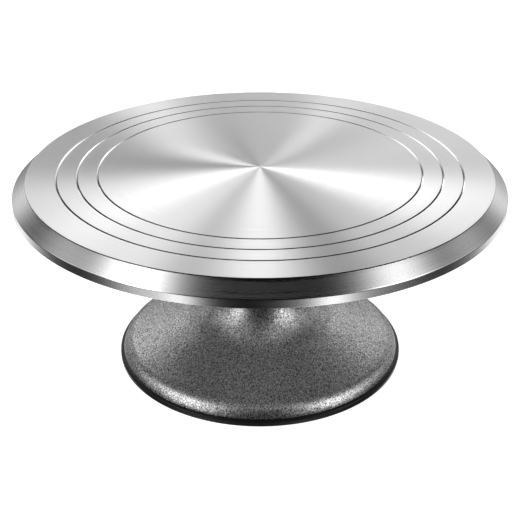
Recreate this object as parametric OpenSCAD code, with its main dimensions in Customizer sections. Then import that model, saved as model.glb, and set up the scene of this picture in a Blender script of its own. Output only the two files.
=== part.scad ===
// Revolving cake turntable: a turned aluminium plate on a trumpet-shaped cast pedestal.
// The origin is the centre of the foot ring's underside, and the turning axis is +Z.
// A flanged spindle hangs from the plate in two ball bearings inside the pedestal's neck.

/* [Plate] */
// Diameter of the cake plate
plate_d = 305; // [295:1:330]
// Height of the cake surface above the table
total_h = 130; // [128:1:140]
// Thickness of the plate between its hub and its rim
web_t = 5.5; // [4.5:0.5:6]
// Height of the upright band round the rim
band_h = 5.7; // [4:0.1:8]
// Height of the bevel between that band and the top
bevel_h = 7.5; // [6:0.1:8]
// Width of the bevel, seen from above
bevel_w = 8.4; // [6:0.1:12]
// Radial thickness of the rim's skirt
skirt_t = 6.5; // [5:0.1:8]
// Diameter of the smallest guide groove
groove_d = 201; // [150:1:210]
// Growth in diameter from one guide groove to the next
groove_step = 25; // [15:1:28]
// Number of guide grooves
groove_count = 3; // [1:1:4]

/* [Pedestal] */
// Diameter of the base at the widest of its shoulder's arc
base_d = 184.2; // [170:0.1:200]
// Height of the centre of the shoulder's arc
shoulder_z = 2; // [2:0.1:3.5]
// Radius of the shoulder
shoulder_r = 10; // [8:0.5:11]
// Slope of the base's cone, in degrees
cone_slope = 17; // [13:1:20]
// Diameter of the neck
neck_d = 54; // [54:1:60]
// Radius of the flare that joins the cone to the neck
flare_r = 32; // [26:1:36]
// Wall thickness of the casting
wall_t = 4; // [3:0.5:4.5]

/* [Foot ring] */
// Diameter of the rubber foot ring
ring_d = 188; // [187:0.1:190]
// Height of the ring's bead outside the base
bead_h = 3.8; // [3:0.1:3.8]
// Thickness of the ring's sole under the casting's wall
sole_t = 1.6; // [1:0.1:2]

/* [Hub] */
// Diameter of the flange under the plate
flange_d = 86; // [80:1:88]
// Thickness of that flange
flange_t = 6; // [5:0.5:6]
// Diameter of the circle of flange screws
screw_pcd = 68; // [66:1:70]
// Number of flange screws
screw_count = 4; // [3:1:6]

/* [Hidden] */
$fn = 96;
eps = 0.01;
over = 1;

// Plate: radii and heights of its outline
plate_r = plate_d / 2;
top_r = plate_r - bevel_w;
rim_z = total_h - bevel_h - band_h;
bevel_z = total_h - bevel_h;
web_z = total_h - web_t;
skirt_r = plate_r - skirt_t;
edge_break = 0.4;
step_h = 0.65;
step_w = 0.1;
facet_in = 0.25;
facet_down = 0.7;
facet_z = bevel_z - (edge_break - facet_in) * bevel_h / (bevel_w - edge_break);
root_r = 3;
groove_w = 1.2;
groove_depth = 0.6;
groove_wall_w = 0.1;
boss_r = flange_d / 2 + 1;
pocket_h = 8.5;
hub_z = web_z - pocket_h;
pocket_r = 15;

// Pedestal: centres and tangent points of its outline
base_r = base_d / 2;
neck_r = neck_d / 2;
slope_normal = [sin(cone_slope), cos(cone_slope)];
shoulder_c = [base_r - shoulder_r, shoulder_z];
flare_x = neck_r + flare_r;
cone_offset = shoulder_c * slope_normal + shoulder_r;
flare_z = (cone_offset + flare_r - flare_x * slope_normal.x) / slope_normal.y;
flare_c = [flare_x, flare_z];
neck_gap = 3;
neck_top_z = hub_z - flange_t - neck_gap;
neck_edge = 1;
lip_inset = 1.9;
lip_r = base_r - lip_inset;
lip_z = 4;

// Bearings: the standard light series with a 20 mm bore
bore_r = 10;
seat_r = 21;
bearing_w = 12;
inner_race_r = 13.1;
outer_race_r = 17.9;
pitch_r = (inner_race_r + outer_race_r) / 2;
ball_r = 3.175;
ball_count = 9;
groove_r = 3.25;
race_edge = 0.6;
shield_r = 18.8;
shield_in_r = 13.4;
shield_t = 0.5;
shield_inset = 0.4;
cage_in_r = 14.2;
cage_out_r = 16.8;
cage_w = 8;
cage_pocket_r = 3.3;
seal_recess_h = 2;
bearing_spacing = 44;
upper_z = neck_top_z - seal_recess_h - bearing_w;
lower_z = upper_z - bearing_spacing;
shoulder_bore_r = 17.5;

// Circlip that holds the lower bearing in its seat
clip_t = 1.75;
clip_gap = 0.05;
clip_groove_r = 22.25;
clip_r = 22.1;
clip_in_r = 19;
clip_groove_z = lower_z - clip_t - 2 * clip_gap;
clip_ledge_h = 2;
boss_bottom_z = clip_groove_z - clip_ledge_h;
lug_r = 2.2;
lug_hole_r = 1;
lug_pitch_r = 18;
mouth_angle = 9;
mouth_corner = clip_r * [cos(mouth_angle), sin(mouth_angle)];
lug_angle = mouth_angle + asin(lug_r / lug_pitch_r);

// Spindle, its nut and its end bolt
spindle_setback = 0.5;
spindle_end_z = lower_z + spindle_setback;
collar_r = 13;
collar_z = upper_z + bearing_w;
flange_z = hub_z - flange_t;
spigot_r = 8;
stud_r = 6;
stud_setback = 0.5;
stud_top_z = web_z - stud_setback;
sleeve_r = 12.8;
nut_af = 19;
nut_h = 6;
nut_washer_t = 2;
nut_washer_r = 12;
end_thread_r = 4;
end_thread_l = 22;
end_washer_t = 2.4;
end_washer_edge = 0.3;
end_washer_z = lower_z - end_washer_t;
end_spring_t = 2;
end_spring_r = 7.4;
end_spring_z = end_washer_z - end_spring_t;
end_bolt_af = 13;
end_bolt_head_h = 5.3;
end_bolt_l = 20;
clear_gap = 0.2;
chamfer = 0.5;
split_w = 0.7;
split_lean = 20;
hex_chamfer_share = 0.9;
hex_chamfer_rise = 0.6;

// Flange screws
screw_r = 2.5;
screw_head_r = 4.25;
screw_head_h = 5;
screw_head_edge = 0.4;
screw_key_af = 4;
screw_key_depth = 2.5;
screw_washer_t = 1.2;
screw_washer_r = 4.4;
screw_depth = 7;
tap_depth = 7.5;

// Dust seal
seal_gap = 0.3;
seal_r = 24.5;
seal_body_r = 16.5;
seal_drop = 0.8;
seal_body_z = neck_top_z - seal_drop;
seal_top_z = flange_z - clear_gap;
seal_lip_z = neck_top_z + seal_gap;
seal_lip_t = 0.6;
seal_lip_rise = 1;

// Foot ring
bead_r = ring_d / 2;
bead_round = 1.2;
bead_foot_round = 0.8;
sole_overhang = 2;
sole_in_r = base_r - wall_t - sole_overhang;

// A rectangle in the turning plane, from one radius and height to another
module block(r1, z1, r2, z2) {
  translate([r1, z1]) square([r2 - r1, z2 - z1]);
}

// A turned ring with a rectangular section
module ring(r1, r2, z, h) {
  rotate_extrude() block(r1, z, r2, z + h);
}

// A turned ring whose two outer edges are chamfered
module chamfered_ring(r1, r2, z, h, c = chamfer) {
  rotate_extrude()
    polygon([[r1, z], [r2 - c, z], [r2, z + c], [r2, z + h - c], [r2 - c, z + h], [r1, z + h]]);
}

// What rounding a corner takes away: the corner is at the given point and opens towards dir
module corner_cut(corner, dir, r) {
  translate(corner + r * dir)
    difference() {
      translate([min(-dir.x, 0) * (r + eps), min(-dir.y, 0) * (r + eps)]) square(r + eps);
      circle(r);
    }
}

// A hexagonal prism with turned chamfers on the faces that are asked for
module hex_body(af, z, h, top = true, bottom = true) {
  r = af / 2 / cos(30);
  c = (r - af / 2) * hex_chamfer_share;
  rise = c * hex_chamfer_rise;
  intersection() {
    translate([0, 0, z]) cylinder(h = h, r = r, $fn = 6);
    rotate_extrude()
      polygon([
        [0, z], [r - (bottom ? c : 0), z], [r, z + (bottom ? rise : 0)],
        [r, z + h - (top ? rise : 0)], [r - (top ? c : 0), z + h], [0, z + h]
      ]);
  }
}

// A split spring washer
module spring_washer(r1, r2, z, h) {
  difference() {
    ring(r1, r2, z, h);
    translate([(r1 + r2) / 2, 0, z + h / 2])
      rotate([split_lean, 0, 0]) cube([r2 - r1 + over, split_w, 3 * h], center = true);
  }
}

// Places its children at every flange screw
module at_screws() {
  for (i = [0 : screw_count - 1])
    rotate([0, 0, 360 / screw_count * (i + 0.5)]) translate([screw_pcd / 2, 0, 0]) children();
}

// Places its children at every ball of a bearing
module at_balls() {
  for (i = [0 : ball_count - 1])
    rotate([0, 0, 360 / ball_count * i]) translate([pitch_r, 0, 0]) children();
}

// The plate's half section: top face, bevel, upright band, skirt, web and hub boss. The top stands a
// small step above the bevel, and a narrow facet breaks the edge between bevel and band. Each groove has
// a steep inner wall and a shallow outer one
module plate_section() {
  difference() {
    union() {
      polygon([
        [0, web_z], [skirt_r, web_z], [skirt_r, rim_z], [plate_r - edge_break, rim_z],
        [plate_r, rim_z + edge_break], [plate_r, bevel_z - facet_down],
        [plate_r - facet_in, facet_z], [top_r + step_w, total_h - step_h], [top_r, total_h],
        [0, total_h]
      ]);
      block(0, hub_z, boss_r, web_z);
      corner_cut([skirt_r, web_z], [-1, -1], root_r);
      corner_cut([boss_r, web_z], [1, -1], root_r);
    }
    block(0, hub_z - over, pocket_r, web_z);
    for (i = [0 : groove_count - 1])
      translate([(groove_d + i * groove_step) / 2, total_h])
        polygon([
          [-groove_w / 2, 0], [groove_wall_w - groove_w / 2, -groove_depth], [groove_w / 2, 0],
          [0, groove_depth]
        ]);
  }
}

module turntable_plate() {
  color("gainsboro")
    difference() {
      rotate_extrude() plate_section();
      at_screws() translate([0, 0, hub_z - over]) cylinder(h = tap_depth + over, r = screw_r);
    }
}

module hub_flange() {
  color("silver")
    difference() {
      chamfered_ring(spigot_r, flange_d / 2, flange_z, flange_t);
      at_screws() translate([0, 0, flange_z - over])
        cylinder(h = flange_t + 2 * over, r = screw_r + clear_gap);
    }
}

module hub_screws() {
  head_z = flange_z - screw_washer_t - screw_head_h;
  color("dimgray")
    at_screws()
      difference() {
        union() {
          chamfered_ring(0, screw_head_r, head_z, screw_head_h, screw_head_edge);
          translate([0, 0, head_z + screw_head_h])
            cylinder(h = screw_washer_t + flange_t + screw_depth, r = screw_r);
        }
        translate([0, 0, head_z - over])
          cylinder(h = screw_key_depth + over, r = screw_key_af / 2 / cos(30), $fn = 6);
      }
}

module hub_screw_washers() {
  color("silver")
    at_screws()
      spring_washer(screw_r + clear_gap, screw_washer_r, flange_z - screw_washer_t, screw_washer_t);
}

// Journal, collar, spigot and stud in one turned piece, tapped at its lower end
module spindle() {
  color("lightsteelblue")
    rotate_extrude()
      polygon([
        [end_thread_r, spindle_end_z], [bore_r - chamfer, spindle_end_z],
        [bore_r, spindle_end_z + chamfer], [bore_r, collar_z], [collar_r, collar_z],
        [collar_r, flange_z], [spigot_r, flange_z], [spigot_r, hub_z - clear_gap],
        [stud_r, hub_z - clear_gap], [stud_r, stud_top_z - chamfer], [stud_r - chamfer, stud_top_z],
        [0, stud_top_z], [0, spindle_end_z + end_thread_l + end_thread_r / 2],
        [end_thread_r, spindle_end_z + end_thread_l]
      ]);
}

module spindle_washer() {
  color("silver")
    ring(stud_r + clear_gap, nut_washer_r, hub_z, nut_washer_t);
}

module spindle_nut() {
  z = hub_z + nut_washer_t;
  color("silver")
    difference() {
      hex_body(nut_af, z, nut_h);
      translate([0, 0, z - over]) cylinder(h = nut_h + 2 * over, r = stud_r);
    }
}

module spacer_sleeve() {
  color("lightsteelblue")
    ring(bore_r, sleeve_r, lower_z + bearing_w, upper_z - lower_z - bearing_w);
}

module end_washer() {
  color("silver")
    chamfered_ring(end_thread_r + clear_gap, collar_r, end_washer_z, end_washer_t, end_washer_edge);
}

module end_spring_washer() {
  color("silver")
    spring_washer(end_thread_r + clear_gap, end_spring_r, end_spring_z, end_spring_t);
}

module end_bolt() {
  color("silver")
    union() {
      hex_body(end_bolt_af, end_spring_z - end_bolt_head_h, end_bolt_head_h, top = false);
      translate([0, 0, end_spring_z]) cylinder(h = end_bolt_l, r = end_thread_r);
    }
}

// A V-section seal that turns with the spindle and whose lip hangs just above the neck
module dust_seal() {
  color("#202020")
    rotate_extrude()
      polygon([
        [collar_r, seal_body_z], [seal_body_r - chamfer, seal_body_z],
        [seal_body_r, seal_body_z + chamfer], [seal_body_r, seal_lip_z + seal_lip_rise],
        [seal_r, seal_lip_z], [seal_r, seal_lip_z + seal_lip_t], [seal_body_r, seal_top_z],
        [collar_r, seal_top_z]
      ]);
}

// The bearings' pieces stand at z = 0 here and are moved to their seats by the nodes below
module inner_race() {
  rotate_extrude()
    difference() {
      block(bore_r, 0, inner_race_r, bearing_w);
      translate([pitch_r, bearing_w / 2]) circle(groove_r);
    }
}

module outer_race() {
  rotate_extrude()
    difference() {
      polygon([
        [outer_race_r, 0], [seat_r - race_edge, 0], [seat_r, race_edge],
        [seat_r, bearing_w - race_edge], [seat_r - race_edge, bearing_w], [outer_race_r, bearing_w]
      ]);
      translate([pitch_r, bearing_w / 2]) circle(groove_r);
      block(0, -over, shield_r, shield_inset + shield_t);
      block(0, bearing_w - shield_inset - shield_t, shield_r, bearing_w + over);
    }
}

module ball_set() {
  at_balls() translate([0, 0, bearing_w / 2]) sphere(ball_r);
}

module cage_ring() {
  difference() {
    ring(cage_in_r, cage_out_r, (bearing_w - cage_w) / 2, cage_w);
    at_balls() translate([0, 0, bearing_w / 2])
      rotate([0, 90, 0]) cylinder(h = 2 * (cage_out_r - cage_in_r), r = cage_pocket_r, center = true);
  }
}

module shield_pair() {
  ring(shield_in_r, shield_r, shield_inset, shield_t);
  ring(shield_in_r, shield_r, bearing_w - shield_inset - shield_t, shield_t);
}

module upper_inner_race() {
  color("lightsteelblue") translate([0, 0, upper_z]) inner_race();
}

module lower_inner_race() {
  color("lightsteelblue") translate([0, 0, lower_z]) inner_race();
}

module upper_bearing_balls() {
  color("white") translate([0, 0, upper_z]) ball_set();
}

module upper_bearing_cage() {
  color("goldenrod") translate([0, 0, upper_z]) cage_ring();
}

module lower_bearing_balls() {
  color("white") translate([0, 0, lower_z]) ball_set();
}

module lower_bearing_cage() {
  color("goldenrod") translate([0, 0, lower_z]) cage_ring();
}

module upper_outer_race() {
  color("steelblue") translate([0, 0, upper_z]) outer_race();
}

module lower_outer_race() {
  color("steelblue") translate([0, 0, lower_z]) outer_race();
}

module upper_bearing_shields() {
  color("silver") translate([0, 0, upper_z]) shield_pair();
}

module lower_bearing_shields() {
  color("silver") translate([0, 0, lower_z]) shield_pair();
}

// Places its children at the circlip's two eyes
module at_lugs() {
  for (side = [-1, 1])
    rotate(side * lug_angle) translate([lug_pitch_r, 0]) children();
}

// An internal circlip: an open ring with an eye on each end
module bearing_circlip() {
  color("dimgray")
    translate([0, 0, clip_groove_z + clip_gap])
      linear_extrude(clip_t)
        difference() {
          union() {
            difference() {
              circle(clip_r);
              circle(clip_in_r);
              polygon([[0, 0], 2 * mouth_corner, 2 * [mouth_corner.x, -mouth_corner.y]]);
            }
            at_lugs() circle(lug_r);
          }
          at_lugs() circle(lug_hole_r);
        }
}

// Everything under the casting's outline, drawn inset from it by the given distance:
// a side, a round shoulder, a shallow cone and a flare that turns up into the neck
module casting_outline(inset, bottom_z) {
  side_r = base_r - inset;
  cone_foot = shoulder_c + (shoulder_r - inset) * slope_normal;
  cone_head = flare_c - (flare_r + inset) * slope_normal;
  difference() {
    union() {
      polygon([
        [0, bottom_z], [side_r, bottom_z], [side_r, shoulder_z], shoulder_c, cone_foot, cone_head,
        flare_c, [0, flare_z]
      ]);
      intersection() {
        translate(shoulder_c) circle(shoulder_r - inset);
        translate(shoulder_c) square(shoulder_r);
      }
    }
    translate(flare_c) circle(flare_r + inset);
  }
}

// The casting's half section: shell, neck with both bearing seats, and the lip for the foot ring
module pedestal_section() {
  difference() {
    union() {
      casting_outline(0, sole_t);
      polygon([
        [0, flare_z], [neck_r, flare_z], [neck_r, neck_top_z - neck_edge],
        [neck_r - neck_edge, neck_top_z], [0, neck_top_z]
      ]);
    }
    difference() {
      casting_outline(wall_t, 0);
      block(0, boss_bottom_z, neck_r, flare_z + over);
    }
    block(0, 0, seat_r, lower_z + bearing_w);
    block(0, clip_groove_z, clip_groove_r, lower_z);
    block(0, lower_z, shoulder_bore_r, upper_z + eps);
    block(0, upper_z, seat_r, neck_top_z + over);
    block(lip_r, 0, base_r + over, lip_z);
  }
}

module pedestal() {
  color("darkgray") rotate_extrude() pedestal_section();
}

// A rubber ring with an L section: a round bead outside the casting's lip, and a sole under it
module foot_ring() {
  color("#1a1a1a")
    rotate_extrude()
      difference() {
        union() {
          block(lip_r, 0, bead_r, bead_h);
          block(sole_in_r, 0, bead_r, sole_t);
        }
        corner_cut([bead_r, bead_h], [-1, -1], bead_round);
        corner_cut([bead_r, 0], [-1, 1], bead_foot_round);
      }
}

turntable_plate();
hub_flange();
hub_screws();
hub_screw_washers();
spindle();
spindle_washer();
spindle_nut();
spacer_sleeve();
end_washer();
end_spring_washer();
end_bolt();
dust_seal();
upper_inner_race();
lower_inner_race();
upper_bearing_balls();
upper_bearing_cage();
lower_bearing_balls();
lower_bearing_cage();
upper_outer_race();
lower_outer_race();
upper_bearing_shields();
lower_bearing_shields();
bearing_circlip();
pedestal();
foot_ring();
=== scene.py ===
"""Looks for a revolving cake turntable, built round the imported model.

The plate, the pedestal and the foot ring are turned again here at a fine resolution, from the same
outlines as the design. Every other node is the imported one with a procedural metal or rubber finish.
Outlines are in millimetres; everything handed to Blender is in metres.
"""

import math

import bmesh
import bpy
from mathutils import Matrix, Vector


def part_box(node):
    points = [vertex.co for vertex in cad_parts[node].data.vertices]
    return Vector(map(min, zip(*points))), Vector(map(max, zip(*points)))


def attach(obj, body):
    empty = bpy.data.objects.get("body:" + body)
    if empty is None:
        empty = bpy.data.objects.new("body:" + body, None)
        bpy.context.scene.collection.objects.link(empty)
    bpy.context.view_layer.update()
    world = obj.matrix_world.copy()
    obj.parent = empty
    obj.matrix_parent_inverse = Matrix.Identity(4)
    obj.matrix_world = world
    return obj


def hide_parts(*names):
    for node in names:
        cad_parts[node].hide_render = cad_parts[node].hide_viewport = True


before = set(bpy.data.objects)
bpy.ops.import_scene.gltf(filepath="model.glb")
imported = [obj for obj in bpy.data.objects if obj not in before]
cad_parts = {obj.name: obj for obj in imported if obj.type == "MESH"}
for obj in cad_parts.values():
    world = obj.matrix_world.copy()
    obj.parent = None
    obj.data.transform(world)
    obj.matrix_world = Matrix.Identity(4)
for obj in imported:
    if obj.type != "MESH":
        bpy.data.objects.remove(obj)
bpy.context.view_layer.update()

MM = 0.001

# Plate
TOP_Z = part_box("turntable_plate")[1].z / MM
PLATE_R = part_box("turntable_plate")[1].x / MM
BEVEL_W = 8.4
BEVEL_H = 7.5
BAND_H = 5.7
BAND_ROUND = 0.2
EDGE_BREAK = 0.4
STEP_H = 0.65
STEP_W = 0.1
FACET_IN = 0.25
FACET_DOWN = 0.7
WEB_T = 5.5
SKIRT_T = 6.5
ROOT_R = 3
UNDER_ROUND = 0.3
BOSS_GAP = 1
POCKET_R = 15
GROOVE_RADII = (100.5, 113, 125.5)
GROOVE_HALF_W = 0.6
GROOVE_DEPTH = 0.6
GROOVE_WALL_W = 0.1
TOOL_MARK_LEAN = 14
SCREW_CIRCLE_R = 34
SCREW_COUNT = 4
TAP_R = 2.5
TAP_DEPTH = 7.5

# Pedestal
NECK_TOP_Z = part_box("pedestal")[1].z / MM
CASTING_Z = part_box("pedestal")[0].z / MM
BASE_R = 92.1
SHOULDER_R = 10
SHOULDER_Z = 2
CONE_SLOPE = math.radians(17)
FLARE_R = 32
NECK_R = 27
NECK_CHAMFER = 1
NECK_ROUND = 0.3
BORE_ROUND = 0.2
WALL_T = 4
LIP_Z = 4
LIP_INSET = 1.9
SEAT_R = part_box("upper_outer_race")[1].x / MM
UPPER_SEAT_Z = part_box("upper_outer_race")[0].z / MM
LOWER_SEAT_TOP_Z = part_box("lower_outer_race")[1].z / MM
LOWER_SEAT_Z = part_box("lower_outer_race")[0].z / MM
SHOULDER_BORE_R = 17.5
CLIP_GROOVE_R = 22.25
CLIP_GROOVE_H = 1.85
CLIP_LEDGE_H = 2

# Foot ring
RING_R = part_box("foot_ring")[1].x / MM
BEAD_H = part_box("foot_ring")[1].z / MM
SOLE_OVERHANG = 2
BEAD_ROUND = 1.2
BEAD_FOOT_ROUND = 0.8
BEAD_INNER_ROUND = 0.15
SOLE_ROUND = 0.3

# Camera
VIEW_AZIMUTH = 270
VIEW_ELEVATION = 27.8
VIEW_CENTRE_Z = 64.2
VIEW_DISTANCE = 676.2
SENSOR_W = 36
LENS = 71.62
FLOOR_HALF_W = 3000

# Mesh
TURN_STEPS = 512
HOLE_STEPS = 48
SMALL_STEPS = 4
LARGE_STEPS = 28
LARGE_ROUND = 1.5
SHARP_ANGLE = math.radians(32)
SUPPORT = 0.08
SUPPORTED_LENGTH = 8 * SUPPORT


# ---------------------------------------------------------------- outlines

def fillet(before, corner, after, radius, steps):
    """The points of an arc that rounds a corner of an outline."""
    p = Vector(corner)
    to_before = (Vector(before) - p).normalized()
    to_after = (Vector(after) - p).normalized()
    half = to_before.angle(to_after) / 2
    centre = p + (to_before + to_after).normalized() * radius / math.sin(half)
    start = p + to_before * radius / math.tan(half) - centre
    end = p + to_after * radius / math.tan(half) - centre
    turn = start.angle_signed(end)
    points = []
    for i in range(steps + 1):
        a = -turn * i / steps
        points.append((
            centre.x + start.x * math.cos(a) - start.y * math.sin(a),
            centre.y + start.x * math.sin(a) + start.y * math.cos(a),
        ))
    return points


def arc(centre, radius, start, end, steps):
    """Points on a circle of the outline's plane, from one angle to another."""
    angles = [start + (end - start) * i / steps for i in range(steps + 1)]
    return [(centre[0] + radius * math.cos(a), centre[1] + radius * math.sin(a)) for a in angles]


def outline(corners, closed):
    """Rounds corners (r, z, rounding, finish) and returns points (r, z, finish).

    A finish is that of the stretch which starts at the corner. Straight stretches get a point close
    to each end, so that smooth shading stays inside the rounding.
    """
    count = len(corners)
    rounded = []
    for i, (r, z, rounding, finish) in enumerate(corners):
        if rounding:
            steps = LARGE_STEPS if rounding > LARGE_ROUND else SMALL_STEPS
            before = corners[i - 1][:2]
            after = corners[(i + 1) % count][:2]
            rounded += [(x, y, finish) for x, y in fillet(before, (r, z), after, rounding, steps)]
        else:
            rounded.append((r, z, finish))
    points = []
    for i, (r, z, finish) in enumerate(rounded):
        points.append((r, z, finish))
        if i + 1 == len(rounded) and not closed:
            break
        end = rounded[(i + 1) % len(rounded)]
        length = math.hypot(end[0] - r, end[1] - z)
        if length > SUPPORTED_LENGTH:
            share = SUPPORT / length
            for s in (share, 1 - share):
                points.append((r + (end[0] - r) * s, z + (end[1] - z) * s, finish))
    return points


def lathe(name, points, closed, finishes):
    """Turns an outline once round the Z axis. Points on the axis become one vertex."""
    mesh = bpy.data.meshes.new(name)
    bm = bmesh.new()
    rings = []
    for r, z, _ in points:
        if r == 0:
            rings.append([bm.verts.new((0, 0, z * MM))] * TURN_STEPS)
            continue
        ring = []
        for k in range(TURN_STEPS):
            a = math.tau * k / TURN_STEPS
            ring.append(bm.verts.new((r * MM * math.cos(a), r * MM * math.sin(a), z * MM)))
        rings.append(ring)
    stretches = len(points) if closed else len(points) - 1
    for i in range(stretches):
        near = rings[i]
        far = rings[(i + 1) % len(points)]
        for k in range(TURN_STEPS):
            n = (k + 1) % TURN_STEPS
            corners = [near[k], far[k], far[n], near[n]]
            face = bm.faces.new(list(dict.fromkeys(corners)))
            face.smooth = True
            face.material_index = list(finishes).index(points[i][2])
    bmesh.ops.recalc_face_normals(bm, faces=bm.faces)
    bm.to_mesh(mesh)
    bm.free()
    for material in finishes.values():
        mesh.materials.append(material)
    mesh.set_sharp_from_angle(angle=SHARP_ANGLE)
    made = bpy.data.objects.new(name, mesh)
    bpy.context.scene.collection.objects.link(made)
    return made


# ---------------------------------------------------------------- material nodes

MIX_FIRST_COLOUR = 6
MIX_SECOND_COLOUR = 7
MIX_COLOUR_RESULT = 2
NOISE_LOW = 0.3
NOISE_HIGH = 0.7
QUARTER_TURN = 0.25


def shader(name, **sockets):
    """A material, its node tree and its Principled node with the given sockets set."""
    material = bpy.data.materials.new(name)
    material.use_nodes = True
    tree = material.node_tree
    principled = tree.nodes["Principled BSDF"]
    for socket, value in sockets.items():
        principled.inputs[socket.replace("_", " ")].default_value = value
    return material, tree, principled


def grey(value):
    return (value, value, value, 1)


def mix_colours(tree, factor, first, second):
    """A colour between two. A Mix node numbers its colour sockets apart from its other ones."""
    node = tree.nodes.new("ShaderNodeMix")
    node.data_type = "RGBA"
    feed(tree, node.inputs["Factor"], factor)
    node.inputs[MIX_FIRST_COLOUR].default_value = first
    node.inputs[MIX_SECOND_COLOUR].default_value = second
    return node.outputs[MIX_COLOUR_RESULT]


def object_point(tree):
    return tree.nodes.new("ShaderNodeTexCoord").outputs["Object"]


def vector_math(tree, operation, first, second=None, third=None):
    node = tree.nodes.new("ShaderNodeVectorMath")
    node.operation = operation
    for socket, value in zip(node.inputs, (first, second, third)):
        feed(tree, socket, value)
    return node.outputs["Value" if operation in ("DOT_PRODUCT", "LENGTH") else "Vector"]


def number_math(tree, operation, first, second=None):
    node = tree.nodes.new("ShaderNodeMath")
    node.operation = operation
    for socket, value in zip(node.inputs, (first, second)):
        feed(tree, socket, value)
    return node.outputs[0]


def feed(tree, socket, value):
    """Links an output to a socket, or sets the socket to a plain value."""
    if isinstance(value, bpy.types.NodeSocket):
        tree.links.new(value, socket)
    elif value is not None:
        socket.default_value = value


def noise(tree, point, grain, detail=2.0, roughness=0.5):
    """Noise whose features are about grain millimetres across."""
    node = tree.nodes.new("ShaderNodeTexNoise")
    feed(tree, node.inputs["Vector"], point)
    node.inputs["Scale"].default_value = 1 / (grain * MM)
    node.inputs["Detail"].default_value = detail
    node.inputs["Roughness"].default_value = roughness
    return node.outputs["Fac"]


def ring_noise(tree, point, pitch, detail=2.0):
    """Noise that changes only with the distance from the turning axis."""
    flat = vector_math(tree, "MULTIPLY", point, (1, 1, 0))
    node = tree.nodes.new("ShaderNodeTexNoise")
    node.noise_dimensions = "1D"
    feed(tree, node.inputs["W"], vector_math(tree, "LENGTH", flat))
    node.inputs["Scale"].default_value = 1 / (pitch * MM)
    node.inputs["Detail"].default_value = detail
    return node.outputs["Fac"]


def spread(tree, value, low, high, start=NOISE_LOW, end=NOISE_HIGH):
    """Maps a noise value to a range."""
    node = tree.nodes.new("ShaderNodeMapRange")
    feed(tree, node.inputs["Value"], value)
    node.inputs["From Min"].default_value = start
    node.inputs["From Max"].default_value = end
    node.inputs["To Min"].default_value = low
    node.inputs["To Max"].default_value = high
    return node.outputs["Result"]


def bump(tree, height, distance, strength, normal=None):
    """A bump of the given height in millimetres."""
    node = tree.nodes.new("ShaderNodeBump")
    node.inputs["Strength"].default_value = strength
    node.inputs["Distance"].default_value = distance * MM
    feed(tree, node.inputs["Height"], height)
    feed(tree, node.inputs["Normal"], normal)
    return node.outputs["Normal"]


def tool_mark_normal(tree, lean):
    """The surface normal leant outward from the axis, as the flanks of one-sided turning marks face."""
    flat = vector_math(tree, "MULTIPLY", object_point(tree), (1, 1, 0))
    outward = vector_math(tree, "NORMALIZE", flat)
    turned = tree.nodes.new("ShaderNodeVectorTransform")
    turned.vector_type = "NORMAL"
    turned.convert_from = "OBJECT"
    turned.convert_to = "WORLD"
    feed(tree, turned.inputs[0], outward)
    slope = math.tan(math.radians(lean))
    facing = tree.nodes.new("ShaderNodeNewGeometry").outputs["Normal"]
    leant = vector_math(tree, "MULTIPLY_ADD", turned.outputs[0], (slope, slope, slope), facing)
    return vector_math(tree, "NORMALIZE", leant)


def round_the_axis(tree, principled, anisotropy):
    """Stretches highlights across the turning marks, which run round the Z axis."""
    tangent = tree.nodes.new("ShaderNodeTangent")
    tangent.direction_type = "RADIAL"
    tangent.axis = "Z"
    feed(tree, principled.inputs["Tangent"], tangent.outputs[0])
    principled.inputs["Anisotropic"].default_value = anisotropy
    principled.inputs["Anisotropic Rotation"].default_value = QUARTER_TURN


# ---------------------------------------------------------------- materials

# Turned metal
COARSE_RING_PITCH = 1.6
COARSE_RING_DETAIL = 3
FINE_RING_PITCH = 0.35
POLISH_SPREAD = 0.02
TONE_DOWN = 0.03
TONE_UP = 0.02

# Hammer finish
FLAKE_SIZE = 0.35
FLAKE_LEAN = 0.2
FLAKE_ROUGHNESS = 0.38
FLAKE_DARK = 0.05
FLAKE_LIGHT = 0.97
FLAKE_LOW = 0.35
FLAKE_HIGH = 0.65
PEBBLE_SIZE = 1.6
PEBBLE_DEPTH = 0.05
PEBBLE_STRENGTH = 0.5

# Rubber
SKIN_GRAIN = 0.8
SKIN_DEPTH = 0.03
SKIN_STRENGTH = 0.4
RUBBER_DARK = 0.004
RUBBER_LIGHT = 0.009
RUBBER_SMOOTH = 0.3
RUBBER_ROUGH = 0.4
RUBBER_GLOSS = 0.25

# Plated and cast metal
BLOTCH_DETAIL = 4
BLOTCH_CONTRAST = 0.6
BLOTCH_SMOOTHER = 0.05
BLOTCH_ROUGHER = 0.07
BUMPS_PER_BLOTCH = 6
GRAIN_STRENGTH = 0.5


def turned_aluminium(name, brightness, roughness, anisotropy, lean=0.0):
    """Bright aluminium with fine turning marks: rings of slightly different polish and tone."""
    material, tree, principled = shader(name, Metallic=1.0)
    point = object_point(tree)
    coarse = ring_noise(tree, point, COARSE_RING_PITCH, COARSE_RING_DETAIL)
    fine = ring_noise(tree, point, FINE_RING_PITCH)
    polish = spread(tree, coarse, roughness - POLISH_SPREAD, roughness + POLISH_SPREAD)
    feed(tree, principled.inputs["Roughness"], polish)
    dark = grey(brightness - TONE_DOWN)
    light = grey(brightness + TONE_UP)
    tone = mix_colours(tree, spread(tree, fine, 0.0, 1.0), dark, light)
    feed(tree, principled.inputs["Base Color"], tone)
    if lean:
        feed(tree, principled.inputs["Normal"], tool_mark_normal(tree, lean))
    round_the_axis(tree, principled, anisotropy)
    return material


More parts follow.
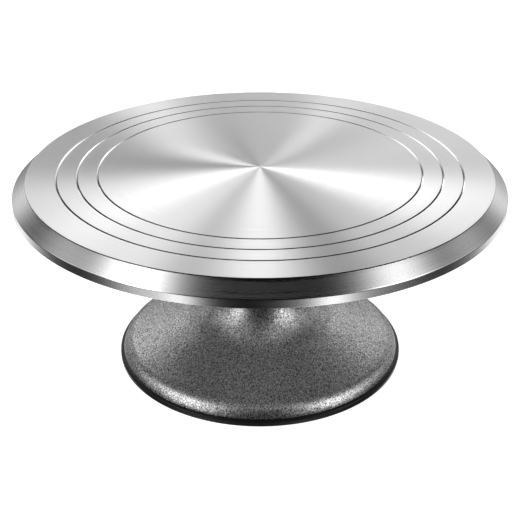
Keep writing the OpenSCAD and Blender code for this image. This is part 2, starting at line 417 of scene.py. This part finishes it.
def powder_coat():
    """Silver-grey hammer finish: metal flake under a pebbled film, so every grain faces its own way."""
    material, tree, principled = shader("silver_hammer_coat", Metallic=1.0, Roughness=FLAKE_ROUGHNESS)
    point = object_point(tree)
    flake = tree.nodes.new("ShaderNodeTexVoronoi")
    flake.inputs["Scale"].default_value = 1 / (FLAKE_SIZE * MM)
    feed(tree, flake.inputs["Vector"], point)
    average = vector_math(tree, "DOT_PRODUCT", flake.outputs["Color"], (1 / 3, 1 / 3, 1 / 3))
    share = spread(tree, average, 0.0, 1.0, FLAKE_LOW, FLAKE_HIGH)
    tone = mix_colours(tree, share, grey(FLAKE_DARK), grey(FLAKE_LIGHT))
    feed(tree, principled.inputs["Base Color"], tone)
    way = vector_math(tree, "SUBTRACT", flake.outputs["Color"], (0.5, 0.5, 0.5))
    pebbled = bump(tree, noise(tree, point, PEBBLE_SIZE), PEBBLE_DEPTH, PEBBLE_STRENGTH)
    leant = vector_math(tree, "MULTIPLY_ADD", way, (FLAKE_LEAN, FLAKE_LEAN, FLAKE_LEAN), pebbled)
    feed(tree, principled.inputs["Normal"], vector_math(tree, "NORMALIZE", leant))
    return material


def rubber():
    """Satin black moulded rubber."""
    material, tree, principled = shader("black_rubber", Specular_IOR_Level=RUBBER_GLOSS)
    skin = noise(tree, object_point(tree), SKIN_GRAIN)
    tone = mix_colours(tree, skin, grey(RUBBER_DARK), grey(RUBBER_LIGHT))
    feed(tree, principled.inputs["Base Color"], tone)
    feed(tree, principled.inputs["Roughness"], spread(tree, skin, RUBBER_SMOOTH, RUBBER_ROUGH))
    feed(tree, principled.inputs["Normal"], bump(tree, skin, SKIN_DEPTH, SKIN_STRENGTH))
    return material


def fastener_metal(name, dark, light, roughness, grain, depth=0.01):
    """A plated, ground or oxidised metal: blotches of tone and polish over a faint grain."""
    material, tree, principled = shader(name, Metallic=1.0)
    point = object_point(tree)
    blotch = noise(tree, point, grain, BLOTCH_DETAIL, BLOTCH_CONTRAST)
    tone = mix_colours(tree, spread(tree, blotch, 0.0, 1.0), dark, light)
    feed(tree, principled.inputs["Base Color"], tone)
    polish = spread(tree, blotch, roughness - BLOTCH_SMOOTHER, roughness + BLOTCH_ROUGHER)
    feed(tree, principled.inputs["Roughness"], polish)
    grit = noise(tree, point, grain / BUMPS_PER_BLOTCH)
    feed(tree, principled.inputs["Normal"], bump(tree, grit, depth, GRAIN_STRENGTH))
    return material


# ---------------------------------------------------------------- pieces

def build_plate():
    """The turned plate, with its four tapped holes cut from the hub boss."""
    bevel_z = TOP_Z - BEVEL_H
    facet_z = bevel_z - (EDGE_BREAK - FACET_IN) * BEVEL_H / (BEVEL_W - EDGE_BREAK)
    rim_z = bevel_z - BAND_H
    web_z = TOP_Z - WEB_T
    skirt_r = PLATE_R - SKIRT_T
    hub_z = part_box("hub_flange")[1].z / MM
    boss_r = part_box("hub_flange")[1].x / MM + BOSS_GAP
    corners = [(0, TOP_Z, 0, "top")]
    for r in GROOVE_RADII:
        corners += [
            # The steep inner wall of each groove is near-black: painted shade.
            (r - GROOVE_HALF_W, TOP_Z, 0, "painted_shade_wall"),
            (r - GROOVE_HALF_W + GROOVE_WALL_W, TOP_Z - GROOVE_DEPTH, 0, "groove"),
            (r + GROOVE_HALF_W, TOP_Z, 0, "top"),
        ]
    corners += [
        # The step under the top's edge is near-black: painted shade.
        (PLATE_R - BEVEL_W, TOP_Z, 0, "painted_shade_wall"),
        (PLATE_R - BEVEL_W + STEP_W, TOP_Z - STEP_H, 0, "edge"),
        (PLATE_R - FACET_IN, facet_z, 0, "facet"),
        (PLATE_R, bevel_z - FACET_DOWN, 0, "band"),
        (PLATE_R, rim_z + EDGE_BREAK, BAND_ROUND, "band"),
        (PLATE_R - EDGE_BREAK, rim_z, BAND_ROUND, "under"),
        (skirt_r, rim_z, UNDER_ROUND, "under"),
        (skirt_r, web_z, ROOT_R, "under"),
        (boss_r, web_z, ROOT_R, "under"),
        (boss_r, hub_z, UNDER_ROUND, "under"),
        (POCKET_R, hub_z, UNDER_ROUND, "under"),
        (POCKET_R, web_z, UNDER_ROUND, "under"),
        (0, web_z, 0, "under"),
    ]
    finishes = {
        "top": turned_aluminium("turned_top", 0.9, 0.32, 0.95, TOOL_MARK_LEAN),
        "edge": turned_aluminium("turned_edge", 0.9, 0.28, 0.9),
        # Painted shade: the underside's aluminium is much darker than the top's, for the shade under the
        # plate.
        "under": turned_aluminium("turned_underside_painted_shade", 0.48, 0.4, 0.6),
        "band": turned_aluminium("turned_band", 0.9, 0.25, 0.9),
        # The groove's sloping side is darker aluminium than the top. The steep groove walls and the step
        # are near-black metal: painted shade in these recesses.
        "groove": turned_aluminium("cut_groove", 0.6, 0.12, 0.3),
        "painted_shade_wall": fastener_metal("painted_shade_wall", grey(0.03), grey(0.06), 0.4, 3),
        "facet": turned_aluminium("broken_edge", 0.95, 0.2, 0.5),
    }
    plate = lathe("turned_plate", outline(corners, False), False, finishes)
    cut_tapped_holes(plate, hub_z, list(finishes).index("under"))
    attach(plate, "turntable")
    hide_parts("turntable_plate")


def cut_tapped_holes(plate, hub_z, finish):
    """Cuts the flange screws' holes from the underside of the hub boss, with the finish of that number."""
    bm = bmesh.new()
    for i in range(SCREW_COUNT):
        a = math.tau * (i + 0.5) / SCREW_COUNT
        made = bmesh.ops.create_cone(
            bm,
            cap_ends=True,
            segments=HOLE_STEPS,
            radius1=TAP_R * MM,
            radius2=TAP_R * MM,
            depth=2 * TAP_DEPTH * MM,
        )
        place = (SCREW_CIRCLE_R * math.cos(a) * MM, SCREW_CIRCLE_R * math.sin(a) * MM, hub_z * MM)
        bmesh.ops.translate(bm, verts=made["verts"], vec=place)
    for face in bm.faces:
        face.material_index = finish
    mesh = bpy.data.meshes.new("hole_cutter")
    bm.to_mesh(mesh)
    bm.free()
    for material in plate.data.materials:
        mesh.materials.append(material)
    cutter = bpy.data.objects.new("hole_cutter", mesh)
    bpy.context.scene.collection.objects.link(cutter)
    cut = plate.modifiers.new("tapped_holes", "BOOLEAN")
    cut.operation = "DIFFERENCE"
    cut.solver = "EXACT"
    cut.object = cutter
    drilled = bpy.data.meshes.new_from_object(plate.evaluated_get(bpy.context.evaluated_depsgraph_get()))
    plate.modifiers.clear()
    plate.data = drilled
    drilled.set_sharp_from_angle(angle=SHARP_ANGLE)
    bpy.data.objects.remove(cutter)


def cone_height(r, inset):
    """Height of the base's cone at a radius, with the cone drawn inset into the casting."""
    foot = (BASE_R - SHOULDER_R) * math.sin(CONE_SLOPE) + SHOULDER_Z * math.cos(CONE_SLOPE) + SHOULDER_R
    return (foot - inset - r * math.sin(CONE_SLOPE)) / math.cos(CONE_SLOPE)


def build_pedestal(coat):
    """The casting: a round shoulder, a shallow cone and a flare into the neck, hollow below."""
    lip_r = BASE_R - LIP_INSET
    inner_r = BASE_R - WALL_T
    flare_x = NECK_R + FLARE_R
    flare_offset = FLARE_R / math.cos(CONE_SLOPE)
    flare_z = cone_height(flare_x, 0) + flare_offset
    clip_groove_z = LOWER_SEAT_Z - CLIP_GROOVE_H
    ledge_z = clip_groove_z - CLIP_LEDGE_H
    inner_flare_r = FLARE_R + WALL_T
    ledge_angle = math.asin((flare_z - ledge_z) / inner_flare_r)
    inner_flare = arc(
        (flare_x, flare_z), inner_flare_r, math.pi + ledge_angle, 1.5 * math.pi - CONE_SLOPE, LARGE_STEPS
    )
    shoulder = arc(
        (BASE_R - SHOULDER_R, SHOULDER_Z),
        SHOULDER_R,
        math.asin((LIP_Z - SHOULDER_Z) / SHOULDER_R),
        0.5 * math.pi - CONE_SLOPE,
        LARGE_STEPS,
    )
    corners = [(lip_r, LIP_Z, 0, "coat")]
    corners += [(r, z, 0, "coat") for r, z in shoulder]
    corners += [
        (NECK_R, cone_height(NECK_R, 0), FLARE_R, "coat"),
        (NECK_R, NECK_TOP_Z - NECK_CHAMFER, NECK_ROUND, "coat"),
        (NECK_R - NECK_CHAMFER, NECK_TOP_Z, NECK_ROUND, "bore"),
        (SEAT_R, NECK_TOP_Z, BORE_ROUND, "bore"),
        (SEAT_R, UPPER_SEAT_Z, 0, "bore"),
        (SHOULDER_BORE_R, UPPER_SEAT_Z, BORE_ROUND, "bore"),
        (SHOULDER_BORE_R, LOWER_SEAT_TOP_Z, BORE_ROUND, "bore"),
        (SEAT_R, LOWER_SEAT_TOP_Z, 0, "bore"),
        (SEAT_R, LOWER_SEAT_Z, 0, "bore"),
        (CLIP_GROOVE_R, LOWER_SEAT_Z, 0, "bore"),
        (CLIP_GROOVE_R, clip_groove_z, 0, "bore"),
        (SEAT_R, clip_groove_z, 0, "bore"),
        (SEAT_R, ledge_z, BORE_ROUND, "bore"),
    ]
    corners += [(r, z, 0, "inside") for r, z in inner_flare]
    corners += [
        (inner_r, cone_height(inner_r, WALL_T), SHOULDER_R - WALL_T, "inside"),
        (inner_r, CASTING_Z, 0, "inside"),
        (lip_r, CASTING_Z, 0, "inside"),
    ]
    finishes = {
        "coat": coat,
        "bore": fastener_metal("bored_iron", grey(0.42), grey(0.52), 0.32, 3),
        "inside": fastener_metal("sprayed_inside", grey(0.24), grey(0.34), 0.55, 2, 0.05),
    }
    pedestal = lathe("cast_pedestal", outline(corners, True), True, finishes)
    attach(pedestal, "pedestal")
    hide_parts("pedestal")


def build_foot_ring(black):
    """The rubber ring: a round bead outside the casting's lip, and a sole under it."""
    lip_r = BASE_R - LIP_INSET
    sole_r = BASE_R - WALL_T - SOLE_OVERHANG
    corners = [
        (sole_r, 0, SOLE_ROUND, "rubber"),
        (RING_R, 0, BEAD_FOOT_ROUND, "rubber"),
        (RING_R, BEAD_H, BEAD_ROUND, "rubber"),
        (lip_r, BEAD_H, BEAD_INNER_ROUND, "rubber"),
        (lip_r, CASTING_Z, 0, "rubber"),
        (sole_r, CASTING_Z, SOLE_ROUND, "rubber"),
    ]
    ring = lathe("rubber_foot_ring", outline(corners, True), True, {"rubber": black})
    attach(ring, "pedestal")
    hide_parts("foot_ring")


def finish_packed_nodes(black):
    """Gives every node that is still shown its procedural finish."""
    finishes = {
        "hub_flange": turned_aluminium("turned_flange", 0.74, 0.34, 0.7),
        "hub_screws": fastener_metal("black_oxide", grey(0.045), grey(0.10), 0.38, 1.2),
        "hub_screw_washers": fastener_metal("zinc_washer", grey(0.5), grey(0.66), 0.34, 1.5),
        "spindle": turned_aluminium("ground_spindle", 0.56, 0.26, 0.5),
        "spacer_sleeve": turned_aluminium("ground_sleeve", 0.5, 0.3, 0.5),
        "dust_seal": black,
        "bearing_circlip": fastener_metal("phosphated_steel", grey(0.08), grey(0.14), 0.45, 1.0),
    }
    for zinc_node in ("spindle_washer", "spindle_nut", "end_washer", "end_spring_washer", "end_bolt"):
        finishes[zinc_node] = finishes["hub_screw_washers"]
    race = turned_aluminium("ground_race", 0.62, 0.18, 0.5)
    ball = fastener_metal("polished_ball", grey(0.72), grey(0.78), 0.08, 1.5, 0.001)
    brass = fastener_metal("machined_brass", (0.62, 0.43, 0.17, 1), (0.78, 0.58, 0.27, 1), 0.3, 1.5)
    shield = turned_aluminium("pressed_shield", 0.58, 0.34, 0.4)
    for level in ("upper", "lower"):
        finishes[f"{level}_inner_race"] = race
        finishes[f"{level}_outer_race"] = race
        finishes[f"{level}_bearing_balls"] = ball
        finishes[f"{level}_bearing_cage"] = brass
        finishes[f"{level}_bearing_shields"] = shield
    for node, material in finishes.items():
        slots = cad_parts[node].data.materials
        slots.clear()
        slots.append(material)


# ---------------------------------------------------------------- studio

# Soft boxes. Each row names the surface that mirrors the box to the camera, by how far it
# leans outward from facing up and by its azimuth, and then gives the box's half-width and brightness.
# Angles are in degrees, and azimuth 0 is +X.
BEVEL_LEAN = math.degrees(math.atan2(BEVEL_H, BEVEL_W))
BAND_LEAN = 90
BETWEEN_LEAN = (BEVEL_LEAN + BAND_LEAN) / 2
UNDER_LEAN = 105
SOFT_BOXES = (
    # Seen in the top: the front ray, the two broad side rays, the two back rays and a weak fill
    (TOOL_MARK_LEAN, 270, 4, 6),
    (TOOL_MARK_LEAN, 205, 8, 3),
    (TOOL_MARK_LEAN, 345, 7, 3),
    (TOOL_MARK_LEAN, 146, 2, 5),
    (TOOL_MARK_LEAN, 54, 1, 5),
    (TOOL_MARK_LEAN, 20, 4, 1),
    # Seen in the bevel: its far ends, two bright spots left and right of the front, and what lies between
    (BEVEL_LEAN, 190, 8, 1),
    (BEVEL_LEAN, 350, 8, 1),
    (50, 240, 9, 5),
    (54, 303, 9, 4),
    (55, 220, 10, 1),
    (55, 325, 10, 0.8),
    # Low boxes, seen in the broken edge between bevel and band
    (BETWEEN_LEAN, 242, 7, 5),
    (BETWEEN_LEAN, 302, 7, 4),
    # Seen in the upright band
    (BAND_LEAN, 200, 12, 1.2),
    (BAND_LEAN, 252, 5, 2),
    (BAND_LEAN, 286, 5, 2),
    (BAND_LEAN, 340, 14, 1.2),
    # Below the table, under the band's two bright spots: light for the underside and the base
    (UNDER_LEAN, 247, 9, 4),
    (UNDER_LEAN, 287, 9, 4),
)

STUDIO_DARK = 0.001
PAPER_GREY = 0.9
PAPER_GLOW = 0.9
PAPER_ROUGHNESS = 0.9


def direction(azimuth, elevation):
    """The unit vector towards an azimuth and an elevation in degrees."""
    a = math.radians(azimuth)
    e = math.radians(elevation)
    return Vector((math.cos(e) * math.cos(a), math.cos(e) * math.sin(a), math.sin(e)))


def mirrored(lean, azimuth):
    """Where a light lies that a surface of this lean and azimuth mirrors to the camera."""
    facing = direction(azimuth, 90 - lean)
    view = direction(VIEW_AZIMUTH, VIEW_ELEVATION)
    return 2 * facing.dot(view) * facing - view


def build_world():
    """A dark studio with soft boxes, which the camera itself sees as plain white paper."""
    world = bpy.data.worlds.new("studio")
    bpy.context.scene.world = world
    world.use_nodes = True
    tree = world.node_tree
    looking = tree.nodes.new("ShaderNodeTexCoord").outputs["Generated"]
    total = STUDIO_DARK
    for lean, azimuth, half_width, brightness in SOFT_BOXES:
        along = vector_math(tree, "DOT_PRODUCT", looking, mirrored(lean, azimuth))
        off_axis = number_math(tree, "SUBTRACT", along, 1.0)
        falloff = number_math(tree, "DIVIDE", off_axis, math.radians(half_width) ** 2)
        glow = number_math(tree, "MULTIPLY", number_math(tree, "EXPONENT", falloff), brightness)
        total = number_math(tree, "ADD", glow, total)
    lit = tree.nodes["Background"]
    lit.inputs["Color"].default_value = grey(1.0)
    feed(tree, lit.inputs["Strength"], total)
    paper = tree.nodes.new("ShaderNodeBackground")
    paper.inputs["Color"].default_value = grey(1.0)
    pick = tree.nodes.new("ShaderNodeMixShader")
    feed(tree, pick.inputs[0], tree.nodes.new("ShaderNodeLightPath").outputs["Is Camera Ray"])
    feed(tree, pick.inputs[1], lit.outputs[0])
    feed(tree, pick.inputs[2], paper.outputs[0])
    feed(tree, tree.nodes["World Output"].inputs["Surface"], pick.outputs[0])


def build_floor():
    """A wide pale floor that the object stands on. It lights itself, and metal doesn't mirror it."""
    half = FLOOR_HALF_W * MM
    corners = [(-half, -half, 0), (half, -half, 0), (half, half, 0), (-half, half, 0)]
    mesh = bpy.data.meshes.new("studio_floor")
    mesh.from_pydata(corners, [], [(0, 1, 2, 3)])
    floor = bpy.data.objects.new("studio_floor", mesh)
    bpy.context.scene.collection.objects.link(floor)
    material, _, _ = shader(
        "pale_paper",
        Base_Color=grey(PAPER_GREY),
        Roughness=PAPER_ROUGHNESS,
        Emission_Color=grey(1.0),
        Emission_Strength=PAPER_GLOW,
    )
    mesh.materials.append(material)
    floor.visible_glossy = False
    floor.visible_shadow = False


def build_camera():
    """The photograph's view: from the front and above, aimed at a point on the axis near mid-height."""
    target = Vector((0, 0, VIEW_CENTRE_Z * MM))
    back = direction(VIEW_AZIMUTH, VIEW_ELEVATION)
    data = bpy.data.cameras.new("camera")
    data.sensor_width = SENSOR_W
    data.lens = LENS
    camera = bpy.data.objects.new("camera", data)
    camera.location = target + VIEW_DISTANCE * MM * back
    camera.rotation_mode = "QUATERNION"
    camera.rotation_quaternion = (-back).to_track_quat("-Z", "Y")
    bpy.context.scene.collection.objects.link(camera)
    bpy.context.scene.camera = camera


black_rubber = rubber()
build_plate()
build_pedestal(powder_coat())
build_foot_ring(black_rubber)
finish_packed_nodes(black_rubber)
build_world()
build_floor()
build_camera()
bpy.context.scene.view_settings.view_transform = "Standard"
